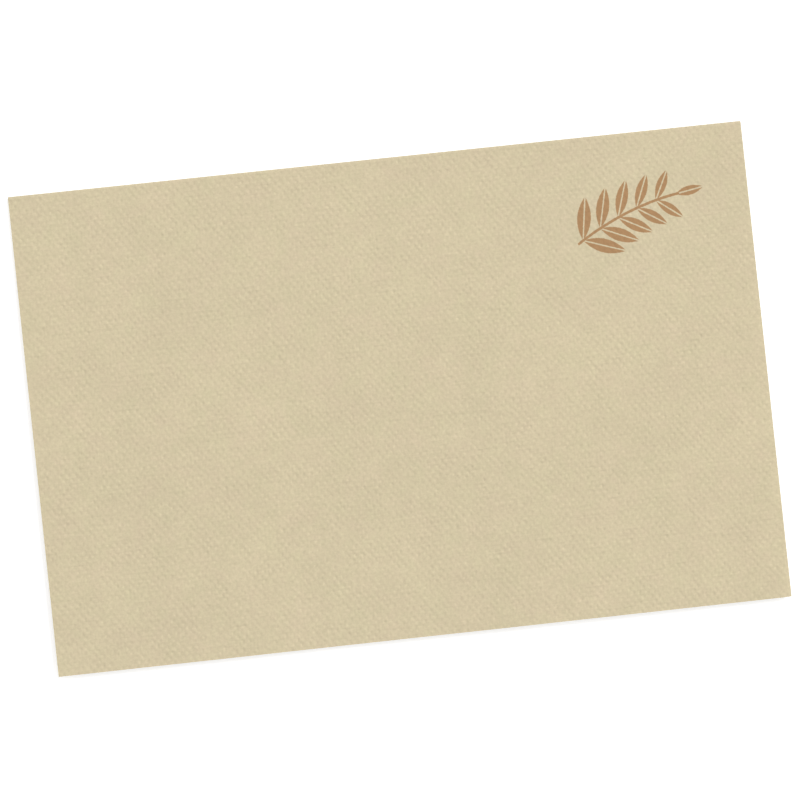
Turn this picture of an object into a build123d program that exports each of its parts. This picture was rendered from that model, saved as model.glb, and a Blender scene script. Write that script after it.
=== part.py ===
"""A paper napkin, folded in half and then folded across.

One rectangular sheet of embossed tissue is creased twice. The first crease makes a pair of plies
joined by a hairpin bend along the right short side. The second crease carries that pair round a
half turn along the back long side, so that four plies lie one on another. The other two sides are
free cut edges. The lower pair lies flat on the table, and the upper pair stands slightly open at
the front, because creased tissue springs back a little.

X runs along the long side and Y along the short side of the folded napkin. Z points up from the
table, and the origin is under the middle of the napkin.
"""

import math
import os

from build123d import *

# Driving dimensions, in millimetres
folded_length = 165.0  # long side of the folded napkin
folded_width = 107.5  # short side of the folded napkin
sheet_thickness = 0.16  # calliper of the embossed tissue
ply_gap = 0.12  # air between plies that lie on one another
mouth_opening = 1.0  # how far the upper pair has risen off the lower one at its free edge
inner_setback = 0.8  # how far the inner plies stop short of the outer plies
lower_setback = 1.0  # how far the lower pair stops short of the upper pair

left_side = -folded_length / 2
right_side = folded_length / 2
mouth_side = -folded_width / 2
spine_side = folded_width / 2

# First fold: the inner ply turns back under the outer ply
bend_inside = ply_gap / 2
bend_outside = bend_inside + sheet_thickness
bend_centre = (right_side - bend_outside, bend_outside)
pair_depth = 2 * bend_outside
inner_side = left_side + inner_setback

# Second fold: the pair is carried round an axis that lies just inside its inner ply
spine_radius = pair_depth + ply_gap / 2
spine_axis = (spine_side - spine_radius, spine_radius)
mouth_angle = math.atan(mouth_opening / folded_width)
spine_start = 90 - math.degrees(mouth_angle)
spine_end = -90


def pair_section():
    """The pair of plies seen along the spine: X across, and depth in from the outer face."""
    with BuildSketch() as section:
        with BuildLine():
            outer_bend = CenterArc(bend_centre, bend_outside, -90, 180)
            inner_bend = CenterArc(bend_centre, bend_inside, -90, 180)
            Polyline(
                outer_bend @ 0,
                (left_side, 0),
                (left_side, sheet_thickness),
                inner_bend @ 0,
            )
            Polyline(
                outer_bend @ 1,
                (inner_side, pair_depth),
                (inner_side, pair_depth - sheet_thickness),
                inner_bend @ 1,
            )
        make_face()
    return section.sketch


def spine_path():
    """The outer face's line from the upper free edge, round the spine, to the lower free edge."""
    axis_y, axis_z = spine_axis
    top_y = axis_y + spine_radius * math.sin(mouth_angle)
    top_z = axis_z + spine_radius * math.cos(mouth_angle)
    mouth_z = top_z + (top_y - mouth_side) * math.tan(mouth_angle)
    with BuildLine(Plane.YZ) as path:
        Line((mouth_side, mouth_z), (top_y, top_z))
        spine = CenterArc(spine_axis, spine_radius, spine_start, spine_end - spine_start)
        Line(spine @ 1, (mouth_side + lower_setback, 0))
    return path.wire()


def napkin():
    """The whole folded sheet as one solid."""
    path = spine_path()
    start = Plane(origin=path @ 0, x_dir=(1, 0, 0), z_dir=path % 0)
    return sweep(sections=start * pair_section(), path=path)


os.makedirs("parts", exist_ok=True)
sheet = napkin()
sheet.label = "napkin"
export_step(sheet, "parts/napkin.step")
print("napkin", sheet.bounding_box().size, "volume", round(sheet.volume, 1))
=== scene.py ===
"""Looks of the folded paper napkin: its embossed sheet, its print, the light and the camera."""

import math
from collections import namedtuple

import bpy
import numpy as np
from mathutils import Matrix, Vector, noise


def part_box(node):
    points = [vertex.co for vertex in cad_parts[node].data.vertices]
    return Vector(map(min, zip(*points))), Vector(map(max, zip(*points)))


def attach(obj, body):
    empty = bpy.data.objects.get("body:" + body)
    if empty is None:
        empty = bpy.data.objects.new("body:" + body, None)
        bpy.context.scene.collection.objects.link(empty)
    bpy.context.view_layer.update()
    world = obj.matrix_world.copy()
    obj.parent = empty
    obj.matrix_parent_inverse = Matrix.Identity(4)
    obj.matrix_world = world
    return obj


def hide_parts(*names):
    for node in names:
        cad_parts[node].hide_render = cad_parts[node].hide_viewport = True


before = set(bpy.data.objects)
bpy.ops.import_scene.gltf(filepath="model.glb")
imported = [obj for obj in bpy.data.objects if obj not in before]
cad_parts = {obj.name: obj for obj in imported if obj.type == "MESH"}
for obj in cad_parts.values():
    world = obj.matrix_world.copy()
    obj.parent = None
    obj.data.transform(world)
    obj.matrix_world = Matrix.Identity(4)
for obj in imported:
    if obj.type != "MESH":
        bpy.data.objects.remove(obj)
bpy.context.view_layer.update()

MM = 0.001

# The folded sheet, in millimetres
LOW, HIGH = (Vector(corner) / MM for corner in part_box("napkin"))
SHEET_THICKNESS = 0.16
PLY_GAP = 0.12
MOUTH_OPENING = 1.0
INNER_SETBACK = 0.8
LOWER_SETBACK = 1.0
FLAT_LENGTH = 330.0

# How the loose upper pair rises and falls, in millimetres, each ripple by its own layer of the noise
Ripple = namedtuple("Ripple", "height length width layer")
RIPPLES = (
    Ripple(height=0.5, length=55.0, width=70.0, layer=3.1),
    Ripple(height=0.16, length=21.0, width=26.0, layer=7.7),
)

# How far the inner plies stand off the outer ones at their free corner, in millimetres, and how unevenly
INNER_SAG = 0.22
SAG_SIZE = 30.0
SAG_MEAN = 0.6
SAG_SPREAD = 0.8
UPPER_SAG_LAYER = 5.0
LOWER_SAG_LAYER = 9.0

# How far the upper pair springs up beside its folds, and how soon, in millimetres
SPRING_RISE = 0.5
HAIRPIN_REACH = 1.4
SPINE_REACH = 30.0

# The embossed dots stand in rows, and every other row is shifted by half a pitch
DOT_PITCH = 1.642
ROW_PITCH = 1.0705
FIRST_DOT_FROM_LEFT = 0.175
FIRST_ROW_FROM_TOP = 1.135
DOT_DEPTH = 0.076
# How much lighter the dots are painted: partly the pressed tissue's own tone, partly painted light and
# shade of the dots
DOT_TONE_AND_PAINTED_LIGHT = 0.0207
ROW_GROOVES = 0.275
# Bands between the columns in the dots' painted lightness, which is partly painted light and shade
COLUMN_BANDS = 0.44
WEAKEST_DOT = 0.1

# The dents in the mesh, as shares of the dots' depth, and the size of patches that are pressed alike
DENT_MEAN = 0.85
DENT_SPREAD = 0.3
DENT_PATCH = 4.0

# How far the dots drift from their rows, and how near the sheet's edges that stops, in millimetres
DOT_DRIFT = 0.28
DRIFT_SIZE = 40.0
DRIFT_LAYERS = (1.3, 9.3)
DRIFT_OCTAVES = 3
DRIFT_FALLOFF = 0.7
CALM_EDGE = 6.0

# How finely the folds and the hidden plies are divided
HAIRPIN_STEPS = 8
SPINE_STEPS = 10
INNER_STEPS = 14
CREASE_MARGIN = 0.2
SMOOTH_ANGLE = 40.0

# How the sheet's faces share the square that its colours are baked on
OUTER_PLY_U = (0.002, 0.94)
INNER_PLY_U = (0.942, 0.998)
SEEN_FACE_V = (0.06, 0.998)
HIDDEN_FACE_V = (0.018, 0.05)
CUT_EDGE_V = 0.001
CUT_EDGE_STEP = 0.0036
CUT_EDGE_HEIGHT = 0.0026
FACE_CORNERS = 4

# Unevenness of the tissue, in blobs of a size in millimetres that may be stretched along the long side
Blobs = namedtuple("Blobs", "size strength seed detail roughness stretch", defaults=(1.0, 0.5, 1.0))
PRESSED_PATCHES = Blobs(size=6.0, strength=1.8, seed=1)
PRESSED_DOTS = Blobs(size=1.4, strength=2.8, seed=9)
DOT_PLACES = Blobs(size=2.6, strength=0.44, seed=0)
CLOUDS = Blobs(size=22.4, strength=0.17, seed=3, detail=4, roughness=1.0)
GRAIN = Blobs(size=0.84, strength=0.2, seed=4, roughness=1.0)
CREPE = Blobs(size=0.32, strength=0.06, seed=5, detail=2, stretch=16)
# Thin lines along the long side for painted shade of small creases
CREASE_SHADE_LINES = Blobs(size=0.5, strength=1.0, seed=6, stretch=20)
SPECKS = Blobs(size=0.9, strength=1.0, seed=7)
TINT = Blobs(size=9.0, strength=2.0, seed=8, detail=3, roughness=0.9)
INK_EDGES = Blobs(size=0.4, strength=0.14, seed=2)
SEED_STEP = (17.3, 9.1)
# Painted shade in thin crease lines; dark specks that are the tissue's own colour
CREASE_SHADE_START, CREASE_SHADE_FULL, CREASE_SHADE_DARKNESS = 0.17, 0.30, 0.035
SPECK_START, SPECK_FULL, SPECK_DARKNESS = 0.30, 0.36, 0.04
GRAIN_RELIEF = 0.12
CREPE_RELIEF = 0.3
PAPER_ROUGHNESS = 0.92
PAPER_SHEEN = 0.1

# Colours, linear
STRAW_PAPER = (0.651, 0.574, 0.381)
ROSY_PAPER = (0.665, 0.563, 0.389)
MEAN_TINT = 0.5
INK = (0.434, 0.255, 0.127)
INK_UNEVENNESS = 0.7

# The printed sprig, in millimetres on the top face and degrees
SPRIG_PLACE = (55.6, 36.0)
SPRIG_TURN = 20.0
STEM_REACH = 14.0
STEM_ARCH = 0.008
STEM_WIDTH = 0.6
STEM_INTO_LAST_LEAF = 0.825
FIRST_LEAF = -12.6
LEAF_SPACING = 4.7
LEAF_PAIRS = 5
LEAF_ANGLE = 50.0
LONGEST_LEAF = 10.0
SHORTEST_LEAF = 6.6
LEAF_SLIMNESS = 0.155
VEIN_WIDTH = 0.3
SOFT_LEAF_EDGE = 0.08
SOFT_LINE_EDGE = 0.06

# Camera, in millimetres and degrees
CAMERA_LENS = 135.0
SENSOR_WIDTH = 36.0
NEAREST_SEEN = 10.0
CAMERA_TARGET = (-0.29, -0.54)
CAMERA_DISTANCE = 672.6
CAMERA_LEAN_LEFT = 1.92
CAMERA_LEAN_BACK = 0.26
CAMERA_ROLL = 6.10

# Light: the shares of the napkin's light that come from all round and from the lamp, degrees and metres
SKY_SHARE = 0.65
LAMP_SHARE = 0.37
LAMP_BEARING = 40.0
LAMP_FROM_UPRIGHT = 40.0
LAMP_DISTANCE = 6.0
LAMP_SIZE = 2.25

# The floor: its side in metres, and how far it lies below the napkin in millimetres
FLOOR_SIZE = 6.0
FLOOR_DROP = 0.05
FLOOR_COLOUR = (0.9, 0.9, 0.9)
FLOOR_GLOW = 0.5

# The places of the Mix node's sockets for colours
MIX_SHARE, MIX_FIRST, MIX_SECOND, MIXED = 0, 6, 7, 2

# The sheet's lines of points: where they lie when folded and when flat, and the number of their dots
Column = namedtuple("Column", "x depth flat half outer")
Row = namedtuple("Row", "y z inward_y inward_z flat half upper loose")


def lattice(first, step, low, high):
    """The numbered places first + n * step that lie between low and high."""
    lowest = math.ceil((low - first) / step)
    highest = math.floor((high - first) / step)
    return [(first + n * step, n) for n in range(lowest, highest + 1)]


def pair_columns():
    """Places across a pair of plies: along the outer, round the hairpin and back along the inner."""
    bend_outside = PLY_GAP / 2 + SHEET_THICKNESS
    bend_middle = PLY_GAP / 2 + SHEET_THICKNESS / 2
    centre_x = HIGH.x - bend_outside
    outer_depth = SHEET_THICKNESS / 2
    first_dot = LOW.x + FIRST_DOT_FROM_LEFT
    outer_places = lattice(first_dot, DOT_PITCH / 2, LOW.x + CREASE_MARGIN, centre_x - CREASE_MARGIN)

    columns = []
    for x, number in [(LOW.x, None), *outer_places]:
        columns.append(Column(x, outer_depth, x, number, True))
    for step in range(HAIRPIN_STEPS + 1):
        swept = math.pi * step / HAIRPIN_STEPS
        x = centre_x + bend_middle * math.sin(swept)
        depth = bend_outside - bend_middle * math.cos(swept)
        columns.append(Column(x, depth, centre_x + bend_middle * swept, None, False))
    start = columns[-1]
    run = start.x - LOW.x - INNER_SETBACK
    for step in range(1, INNER_STEPS + 1):
        along = run * step / INNER_STEPS
        columns.append(Column(start.x - along, start.depth, start.flat + along, None, False))
    return columns


def spine_rows():
    """Places along the outer face: from the upper free edge, round the spine, to the lower one."""
    pair_depth = 2 * SHEET_THICKNESS + PLY_GAP
    radius = pair_depth + PLY_GAP / 2
    axis_y = HIGH.y - radius
    width = HIGH.y - LOW.y
    open_angle = math.atan(MOUTH_OPENING / width)
    sine, cosine = math.sin(open_angle), math.cos(open_angle)
    top_y = axis_y + radius * sine
    top_z = radius + radius * cosine
    first = HIGH.y - FIRST_ROW_FROM_TOP
    last_y = LOW.y + LOWER_SETBACK

    rows = []
    upper_places = lattice(first, ROW_PITCH, LOW.y + CREASE_MARGIN, top_y - CREASE_MARGIN)
    for y, number in [(LOW.y, None), *upper_places]:
        z = top_z + (top_y - y) * sine / cosine
        rows.append(Row(y, z, -sine, -cosine, y, number, True, (top_y - y) / width))
    turn = math.pi - open_angle
    for step in range(SPINE_STEPS + 1):
        swept = turn * step / SPINE_STEPS
        angle = math.pi / 2 - open_angle - swept
        out_y, out_z = math.cos(angle), math.sin(angle)
        y, z = axis_y + radius * out_y, radius + radius * out_z
        rows.append(Row(y, z, -out_y, -out_z, top_y + radius * swept, None, False, 0.0))
    start_flat = rows[-1].flat
    lower_places = lattice(first, ROW_PITCH, last_y + CREASE_MARGIN, axis_y - CREASE_MARGIN)
    for y, number in [*reversed(lower_places), (last_y, None)]:
        rows.append(Row(y, 0.0, 0.0, 1.0, start_flat + axis_y - y, number, False, (axis_y - y) / width))
    return rows


def pressed_dot(column, row):
    """How far the embossing has pressed the sheet in here."""
    if column.half is None or row.half is None or (column.half + row.half) % 2:
        return 0.0
    evenness = noise.noise(Vector((column.flat / DENT_PATCH, row.flat / DENT_PATCH, 0)))
    return DOT_DEPTH * (DENT_MEAN + DENT_SPREAD * evenness)


def dot_drift(column, row):
    """How far the dots have drifted here, in X and Y: not at all at the sheet's edges and folds."""
    if column.half is None or row.half is None:
        return [0.0, 0.0]
    room = min(column.x - LOW.x, HIGH.x - column.x, row.y - LOW.y, HIGH.y - row.y)
    reach = DOT_DRIFT * min(room / CALM_EDGE, 1.0)
    drift = []
    for layer in DRIFT_LAYERS:
        place = Vector((column.flat / DRIFT_SIZE, row.flat / DRIFT_SIZE, layer))
        swirl = noise.turbulence(place, DRIFT_OCTAVES, False, amplitude_scale=DRIFT_FALLOFF)
        drift.append(reach * swirl)
    return drift


def inner_sag(column, row):
    """How far an inner ply hangs away from its outer ply, most at the corner where both are free."""
    if column.outer:
        return 0.0
    freed = (HIGH.x - column.x) / (HIGH.x - LOW.x) * row.loose
    layer = UPPER_SAG_LAYER if row.upper else LOWER_SAG_LAYER
    evenness = noise.noise(Vector((column.x / SAG_SIZE, row.y / SAG_SIZE, layer)))
    return INNER_SAG * freed * (SAG_MEAN + SAG_SPREAD * evenness)


def spring(x, row):
    """How far the upper pair has risen beside its folds, which are pressed flat."""
    past_hairpin = 1.0 - math.exp((x - HIGH.x) / HAIRPIN_REACH)
    past_spine = 1.0 - math.exp(-((row.y - HIGH.y) / SPINE_REACH) ** 2)
    return SPRING_RISE * past_hairpin * past_spine


def ripple(x, row):
    """How much the upper pair, which lies loose, rises and falls."""
    if not row.upper:
        return 0.0
    height = 0.0
    for wave in RIPPLES:
        height += wave.height * noise.noise(Vector((x / wave.length, row.y / wave.width, wave.layer)))
    return row.loose * height + spring(x, row)


def folded_place(column, row):
    """Where a point of the sheet lies in the folded napkin."""
    drift_x, drift_y = dot_drift(column, row)
    depth = column.depth + pressed_dot(column, row) + inner_sag(column, row)
    x = column.x + drift_x
    y = row.y + drift_y + depth * row.inward_y
    z = row.z + depth * row.inward_z + ripple(column.x, row)
    return (x * MM, y * MM, z * MM)


def fold_sheet():
    """The napkin's sheet: a flat grid that is embossed, folded twice and given its thickness."""
    columns = pair_columns()
    rows = spine_rows()
    across, down = len(columns) - 1, len(rows) - 1
    bpy.ops.object.select_all(action="DESELECT")
    bpy.ops.mesh.primitive_grid_add(x_subdivisions=across, y_subdivisions=down, size=1)
    sheet = bpy.context.active_object
    sheet.name = "folded_sheet"
    sheet.data.name = "folded_sheet"

    places = np.array([folded_place(column, row) for row in rows for column in columns])
    sheet.data.vertices.foreach_set("co", places.ravel())
    flat = np.array([(column.flat * MM, row.flat * MM) for row in rows for column in columns])
    while sheet.data.uv_layers:
        sheet.data.uv_layers.remove(sheet.data.uv_layers[0])
    lay_map(sheet, "sheet", flat[corner_vertices(sheet)])

    thicken = sheet.modifiers.new("thickness", "SOLIDIFY")
    thicken.thickness = SHEET_THICKNESS * MM
    thicken.offset = 0
    bpy.ops.object.modifier_apply(modifier=thicken.name)
    bare_back(sheet, across * down)
    lay_map(sheet, "OFBake", spread_places(sheet, columns, rows))
    bpy.ops.object.mode_set(mode="EDIT")
    bpy.ops.mesh.select_all(action="SELECT")
    bpy.ops.mesh.normals_make_consistent(inside=False)
    bpy.ops.object.mode_set(mode="OBJECT")
    bpy.ops.object.shade_smooth_by_angle(angle=math.radians(SMOOTH_ANGLE))
    return sheet


def corner_vertices(piece):
    """The vertex of each face corner."""
    found = np.empty(len(piece.data.loops), np.int32)
    piece.data.loops.foreach_get("vertex_index", found)
    return found


def lay_map(piece, name, corners):
    """Gives the piece a UV map with these places, one for each face corner."""
    layer = piece.data.uv_layers.new(name=name)
    layer.uv.foreach_set("vector", np.asarray(corners, np.float32).ravel())


def bare_back(sheet, faces):
    """Moves the back of the sheet, which is its second set of faces, to a place with no print."""
    layer = sheet.data.uv_layers["sheet"]
    places = np.empty(2 * len(sheet.data.loops), np.float32)
    layer.uv.foreach_get("vector", places)
    along = places[0::2]
    along[FACE_CORNERS * faces:2 * FACE_CORNERS * faces] += FLAT_LENGTH * MM
    layer.uv.foreach_set("vector", places)


def spread_places(sheet, columns, rows):
    """Places on a square that nothing shares: large for both outer faces, small for what is hidden."""
    across, down = len(columns), len(rows)
    outer_x = [column.x for column in columns if column.outer]
    outer_u = np.interp(outer_x, (LOW.x, HIGH.x), OUTER_PLY_U)
    inner_u = np.linspace(*INNER_PLY_U, across - len(outer_x))
    u = np.concatenate([outer_u, inner_u])
    seen_v = np.interp([row.flat for row in rows], (rows[0].flat, rows[-1].flat), SEEN_FACE_V)
    hidden_v = np.linspace(*HIDDEN_FACE_V, down)

    corner = corner_vertices(sheet)
    side, place = np.divmod(corner, across * down)
    row, column = np.divmod(place, across)
    spread = np.stack([u[column], np.where(side == 0, seen_v[row], hidden_v[row])], axis=1)

    # The cut edges come last in the mesh, and each side has its own strip
    first_cut = 2 * FACE_CORNERS * (across - 1) * (down - 1)
    cut_faces = np.arange(first_cut, len(corner)).reshape(-1, FACE_CORNERS)
    edges = [(row == 0, column / across), (row == down - 1, column / across)]
    edges += [(column == 0, row / down), (column == across - 1, row / down)]
    for strip, (on_edge, share) in enumerate(edges):
        chosen = cut_faces[on_edge[cut_faces].all(axis=1)].ravel()
        strip_v = CUT_EDGE_V + CUT_EDGE_STEP * strip + CUT_EDGE_HEIGHT * side[chosen]
        spread[chosen] = np.stack([share[chosen], strip_v], axis=1)
    return spread


class Nodes:
    """Adds nodes to one node tree and joins them."""

    def __init__(self, tree):
        self.tree = tree

    def add(self, kind, inputs=None, **settings):
        made = self.tree.nodes.new(kind)
        for name, value in settings.items():
            setattr(made, name, value)
        for name, value in (inputs or {}).items():
            self.join(value, made.inputs[name])
        return made

    def join(self, value, socket):
        if isinstance(value, bpy.types.NodeSocket):
            self.tree.links.new(value, socket)
        else:
            socket.default_value = value

    def math(self, operation, *values):
        made = self.add("ShaderNodeMath", dict(enumerate(values)), operation=operation)
        return made.outputs[0]

    def total(self, first, *others):
        for other in others:
            first = self.math("ADD", first, other)
        return first

    def times(self, first, second):
        return self.math("MULTIPLY", first, second)

    def vector(self, operation, *values):
        made = self.add("ShaderNodeVectorMath", dict(enumerate(values)), operation=operation)
        return made.outputs[0]

    def split(self, vector):
        made = self.add("ShaderNodeSeparateXYZ", {"Vector": vector})
        return made.outputs["X"], made.outputs["Y"]

    def noise_texture(self, place, blobs):
        scaled = self.vector("DIVIDE", place, (blobs.size * blobs.stretch, blobs.size, blobs.size))
        step_x, step_y = SEED_STEP
        moved = self.vector("ADD", scaled, (blobs.seed * step_x, blobs.seed * step_y, 0))
        inputs = {"Vector": moved, "Scale": 1.0, "Detail": blobs.detail, "Roughness": blobs.roughness}
        return self.add("ShaderNodeTexNoise", inputs, noise_dimensions="2D")

    def noise(self, place, blobs):
        """Noise about 0, as uneven as the blobs say."""
        made = self.noise_texture(place, blobs)
        return self.math("MULTIPLY_ADD", made.outputs["Fac"], blobs.strength, -blobs.strength / 2)

    def strayed(self, place, blobs):
        """The place, moved about in X and Y."""
        made = self.noise_texture(place, blobs)
        about_zero = self.vector("SUBTRACT", made.outputs["Color"], (0.5, 0.5, 0.5))
        return self.vector("MULTIPLY_ADD", about_zero, (blobs.strength, blobs.strength, 0), place)

    def ramp(self, value, low, high):
        """A smooth step from 0 at low to 1 at high."""
        inputs = {"Value": value, "From Min": low, "From Max": high}
        made = self.add("ShaderNodeMapRange", inputs, interpolation_type="SMOOTHSTEP")
        return made.outputs["Result"]

    def mix(self, share, first, second):
        made = self.add("ShaderNodeMix", data_type="RGBA")
        self.join(share, made.inputs[MIX_SHARE])
        self.join(first, made.inputs[MIX_FIRST])
        self.join(second, made.inputs[MIX_SECOND])
        return made.outputs[MIXED]

    def shaded(self, colour, amount):
        """The colour over 1 - amount: a light mark stands out a little more than a dark one."""
        made = self.add("ShaderNodeVectorMath", {0: colour}, operation="SCALE")
        self.join(self.math("DIVIDE", 1.0, self.math("SUBTRACT", 1.0, amount)), made.inputs["Scale"])
        return made.outputs[0]


def new_material(name):
    material = bpy.data.materials.new(name)
    material.use_nodes = True
    material.node_tree.nodes.clear()
    return material, Nodes(material.node_tree)


def sheet_place(nodes):
    """A point's place on the flat sheet, in millimetres."""
    made = nodes.add("ShaderNodeUVMap", uv_map="sheet")
    return nodes.vector("DIVIDE", made.outputs[0], (MM, MM, MM))


def emboss(nodes, place):
    """Rows of shallow dots, pressed in unevenly: their height, and how much lighter they are painted,
    partly as the pressed tissue's own tone and partly as painted light and shade of the dots.
    """
    x, y = nodes.split(nodes.strayed(place, DOT_PLACES))
    from_left = nodes.math("SUBTRACT", x, LOW.x + FIRST_DOT_FROM_LEFT)
    from_top = nodes.math("SUBTRACT", y, HIGH.y - FIRST_ROW_FROM_TOP)
    across = nodes.times(from_left, 2 * math.pi / DOT_PITCH)
    down = nodes.times(from_top, math.pi / ROW_PITCH)
    dots = nodes.times(nodes.math("COSINE", across), nodes.math("COSINE", down))
    rows = nodes.math("COSINE", nodes.times(down, 2.0))
    columns = nodes.math("COSINE", nodes.times(across, 2.0))

    patches = nodes.noise(place, PRESSED_PATCHES)
    single = nodes.noise(place, PRESSED_DOTS)
    strength = nodes.math("MAXIMUM", nodes.total(patches, single, 1.0), WEAKEST_DOT)
    pressed = nodes.math("MULTIPLY_ADD", rows, ROW_GROOVES, dots)
    # The dots' painted lightness: partly the tissue's own tone, partly painted light and shade of the
    # dots
    light = nodes.math("MULTIPLY_ADD", columns, COLUMN_BANDS, dots)
    height = nodes.times(nodes.times(pressed, strength), -DOT_DEPTH / 2)
    tone_and_painted_light = nodes.times(nodes.times(light, strength), DOT_TONE_AND_PAINTED_LIGHT)
    return height, tone_and_painted_light


def leaf_mask_group():
    """One printed leaf, pointed at both ends, with a bare vein along its middle."""
    group = bpy.data.node_groups.new("leaf_mask", "ShaderNodeTree")
    for name in ("Place", "Stalk"):
        group.interface.new_socket(name, in_out="INPUT", socket_type="NodeSocketVector")
    for name in ("Angle", "Length"):
        group.interface.new_socket(name, in_out="INPUT", socket_type="NodeSocketFloat")
    group.interface.new_socket("Mask", in_out="OUTPUT", socket_type="NodeSocketFloat")
    nodes = Nodes(group)
    given = nodes.add("NodeGroupInput").outputs
    from_stalk = nodes.vector("SUBTRACT", given["Place"], given["Stalk"])
    inputs = {"Vector": from_stalk, "Angle": given["Angle"]}
    turn = nodes.add("ShaderNodeVectorRotate", inputs, rotation_type="Z_AXIS", invert=True)
    along, across = nodes.split(turn.outputs[0])
    aside = nodes.math("ABSOLUTE", across)
    share = nodes.math("DIVIDE", along, given["Length"])

    # The bulge is a quarter at its most, halfway along the leaf
    bulge = nodes.times(share, nodes.math("SUBTRACT", 1.0, share))
    half_width = nodes.times(nodes.times(bulge, given["Length"]), 4 * LEAF_SLIMNESS)
    inside = nodes.ramp(nodes.math("SUBTRACT", half_width, aside), -SOFT_LEAF_EDGE, SOFT_LEAF_EDGE)
    off_vein = nodes.math("SUBTRACT", aside, VEIN_WIDTH / 2)
    beside_vein = nodes.ramp(off_vein, -SOFT_LINE_EDGE, SOFT_LINE_EDGE)
    nodes.add("NodeGroupOutput", {"Mask": nodes.times(inside, beside_vein)})
    return group


def on_stem(x):
    """The stem's point at this distance along it, and its direction there in degrees."""
    return (x, -STEM_ARCH * x * x), math.degrees(math.atan(-2 * STEM_ARCH * x))


def sprig_leaves():
    """Each leaf's stalk, angle and length: pairs along the stem and one at its tip."""
    for pair in range(LEAF_PAIRS):
        stalk, slope = on_stem(FIRST_LEAF + pair * LEAF_SPACING)
        length = LONGEST_LEAF + (SHORTEST_LEAF - LONGEST_LEAF) * pair / LEAF_PAIRS
        for side in (1, -1):
            yield stalk, slope + side * LEAF_ANGLE, length
    stalk, slope = on_stem(FIRST_LEAF + LEAF_PAIRS * LEAF_SPACING)
    yield stalk, slope, SHORTEST_LEAF


def sprig_mask(nodes, place):
    """Where the ink of the printed sprig lies."""
    from_middle = nodes.vector("SUBTRACT", nodes.strayed(place, INK_EDGES), (*SPRIG_PLACE, 0))
    inputs = {"Vector": from_middle, "Angle": math.radians(SPRIG_TURN)}
    turn = nodes.add("ShaderNodeVectorRotate", inputs, rotation_type="Z_AXIS", invert=True)
    on_sprig = turn.outputs[0]

    x, y = nodes.split(on_sprig)
    tip = FIRST_LEAF + LEAF_PAIRS * LEAF_SPACING
    off_stem = nodes.math("ABSOLUTE", nodes.math("MULTIPLY_ADD", nodes.times(x, x), STEM_ARCH, y))
    beside = nodes.math("SUBTRACT", STEM_WIDTH / 2, off_stem)
    before_tip = nodes.math("SUBTRACT", tip + STEM_INTO_LAST_LEAF, x)
    after_foot = nodes.math("ADD", x, STEM_REACH)
    inside = nodes.math("MINIMUM", beside, nodes.math("MINIMUM", before_tip, after_foot))
    mask = nodes.ramp(inside, -SOFT_LINE_EDGE, SOFT_LINE_EDGE)

    group = leaf_mask_group()
    for stalk, angle, length in sprig_leaves():
        leaf = nodes.add("ShaderNodeGroup", node_tree=group)
        nodes.join(on_sprig, leaf.inputs["Place"])
        nodes.join((*stalk, 0), leaf.inputs["Stalk"])
        nodes.join(math.radians(angle), leaf.inputs["Angle"])
        nodes.join(length, leaf.inputs["Length"])
        mask = nodes.math("MAXIMUM", mask, leaf.outputs["Mask"])
    return mask


def tissue():
    """Unbleached tissue: cloudy, grainy, creped along the long side and embossed with dots."""
    material, nodes = new_material("embossed_tissue")
    place = sheet_place(nodes)
    # The dots' relief, and their lightness, which is partly painted light and shade
    dot_height, dot_tone_and_painted_light = emboss(nodes, place)

    grain = nodes.noise(place, GRAIN)
    crepe = nodes.noise(place, CREPE)
    # Painted shade: thin lines darkened as if shaded in small creases, and dark specks that are the
    # tissue's own colour
    crease_shade = nodes.ramp(nodes.noise(place, CREASE_SHADE_LINES), CREASE_SHADE_START, CREASE_SHADE_FULL)
    specks = nodes.ramp(nodes.noise(place, SPECKS), SPECK_START, SPECK_FULL)
    specks_and_crease_shade = nodes.total(nodes.times(crease_shade, -CREASE_SHADE_DARKNESS), nodes.times(specks, -SPECK_DARKNESS))
    tone = nodes.total(dot_tone_and_painted_light, nodes.noise(place, CLOUDS), grain, crepe, specks_and_crease_shade)

    tint = nodes.math("ADD", nodes.noise(place, TINT), MEAN_TINT)
    paper = nodes.shaded(nodes.mix(tint, (*STRAW_PAPER, 1), (*ROSY_PAPER, 1)), tone)
    ink = nodes.shaded(INK, nodes.times(tone, INK_UNEVENNESS))
    colour = nodes.mix(sprig_mask(nodes, place), paper, ink)

    relief = nodes.total(dot_height, nodes.times(grain, GRAIN_RELIEF), nodes.times(crepe, CREPE_RELIEF))
    bump = nodes.add("ShaderNodeBump", {"Height": relief, "Strength": 1.0, "Distance": MM})
    roughness = nodes.math("ADD", grain, PAPER_ROUGHNESS)
    shader = nodes.add("ShaderNodeBsdfPrincipled", {
        "Base Color": colour,
        "Roughness": roughness,
        "Normal": bump.outputs[0],
        "Specular IOR Level": PAPER_SHEEN,
    })
    nodes.add("ShaderNodeOutputMaterial", {"Surface": shader.outputs[0]})
    return material


def seen_directly(nodes):
    """1 for what the camera sees, straight or in a reflection, and 0 for light on the object."""
    path = nodes.add("ShaderNodeLightPath")
    seen = nodes.math("MAXIMUM", path.outputs["Is Camera Ray"], path.outputs["Is Glossy Ray"])
    return nodes.math("MAXIMUM", seen, path.outputs["Is Transmission Ray"])


def white_floor():
    """A white floor that keeps the napkin's shadow."""
    bpy.ops.object.select_all(action="DESELECT")
    bpy.ops.mesh.primitive_plane_add(size=FLOOR_SIZE, location=(0, 0, (LOW.z - FLOOR_DROP) * MM))
    floor = bpy.context.active_object
    floor.name = "floor"
    material, nodes = new_material("floor")
    matt = nodes.add("ShaderNodeBsdfDiffuse", {"Color": (*FLOOR_COLOUR, 1)})
    glow = nodes.add("ShaderNodeEmission", {"Strength": nodes.times(seen_directly(nodes), FLOOR_GLOW)})
    both = nodes.add("ShaderNodeAddShader", {0: matt.outputs[0], 1: glow.outputs[0]})
    nodes.add("ShaderNodeOutputMaterial", {"Surface": both.outputs[0]})
    floor.data.materials.append(material)


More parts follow.
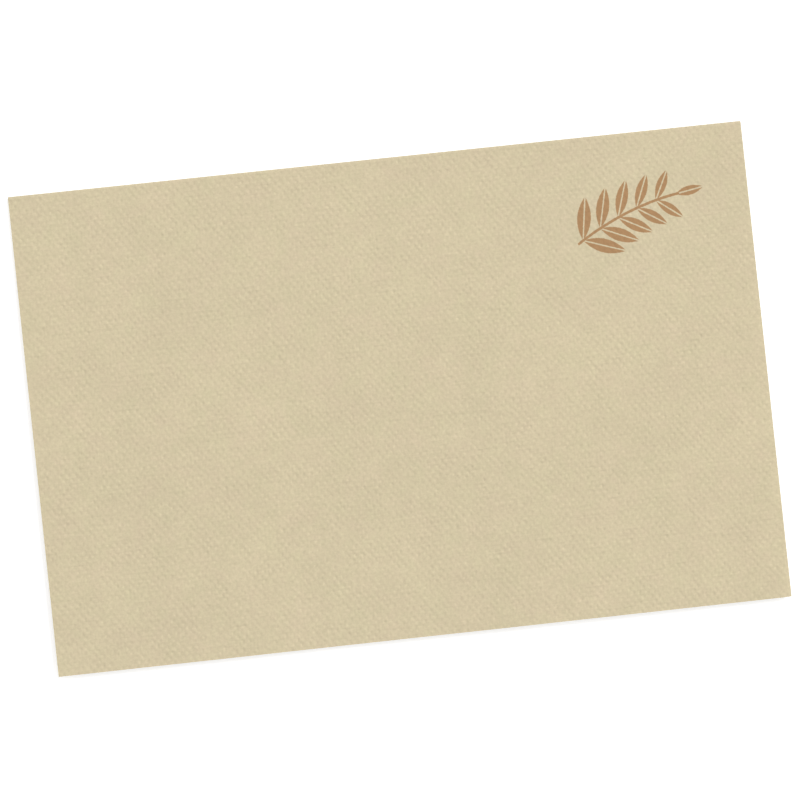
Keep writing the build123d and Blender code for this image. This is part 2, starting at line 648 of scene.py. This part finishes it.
def soft_sky():
    """Even light from all round, in front of a white background."""
    world = bpy.data.worlds.new("soft_sky")
    world.use_nodes = True
    world.node_tree.nodes.clear()
    nodes = Nodes(world.node_tree)
    strength = nodes.math("MULTIPLY_ADD", seen_directly(nodes), 1.0 - SKY_SHARE, SKY_SHARE)
    sky = nodes.add("ShaderNodeBackground", {"Color": (1, 1, 1, 1), "Strength": strength})
    nodes.add("ShaderNodeOutputWorld", {"Surface": sky.outputs[0]})
    bpy.context.scene.world = world


def side_lamp():
    """A soft lamp above the right-hand back corner, which brings out the dots."""
    bearing, tilt = math.radians(LAMP_BEARING), math.radians(LAMP_FROM_UPRIGHT)
    sideways = math.sin(tilt)
    towards = Vector((sideways * math.cos(bearing), sideways * math.sin(bearing), math.cos(tilt)))
    lamp = bpy.data.lights.new("side_lamp", "AREA")
    lamp.shape = "DISK"
    lamp.size = LAMP_SIZE

    # The power that gives a level sheet this share of a white sky's light
    lamp.energy = LAMP_SHARE * math.pi**2 * LAMP_DISTANCE**2 / math.cos(tilt)
    holder = bpy.data.objects.new("side_lamp", lamp)
    holder.location = towards * LAMP_DISTANCE
    holder.rotation_euler = towards.to_track_quat("Z", "Y").to_euler()
    bpy.context.collection.objects.link(holder)


def camera_above():
    """A long lens nearly straight above the napkin, turned a little."""
    left, away = math.radians(CAMERA_LEAN_LEFT), math.radians(CAMERA_LEAN_BACK)
    roll = math.radians(CAMERA_ROLL)
    back = Vector((-math.sin(left), math.sin(away) * math.cos(left), math.cos(away) * math.cos(left)))
    right = Vector((math.sin(roll), math.cos(roll), 0)).cross(back).normalized()
    up = back.cross(right)
    lens = bpy.data.cameras.new("camera")
    lens.lens = CAMERA_LENS
    lens.sensor_width = SENSOR_WIDTH
    lens.clip_start = NEAREST_SEEN * MM
    camera = bpy.data.objects.new("camera", lens)
    place = Vector((*CAMERA_TARGET, 0)) * MM + back * CAMERA_DISTANCE * MM
    camera.matrix_world = Matrix.Translation(place) @ Matrix((right, up, back)).transposed().to_4x4()
    bpy.context.collection.objects.link(camera)
    bpy.context.scene.camera = camera


sheet = fold_sheet()
sheet.data.materials.append(tissue())
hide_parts("napkin")
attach(sheet, "root")

white_floor()
soft_sky()
side_lamp()
camera_above()
bpy.context.scene.view_settings.view_transform = "Standard"
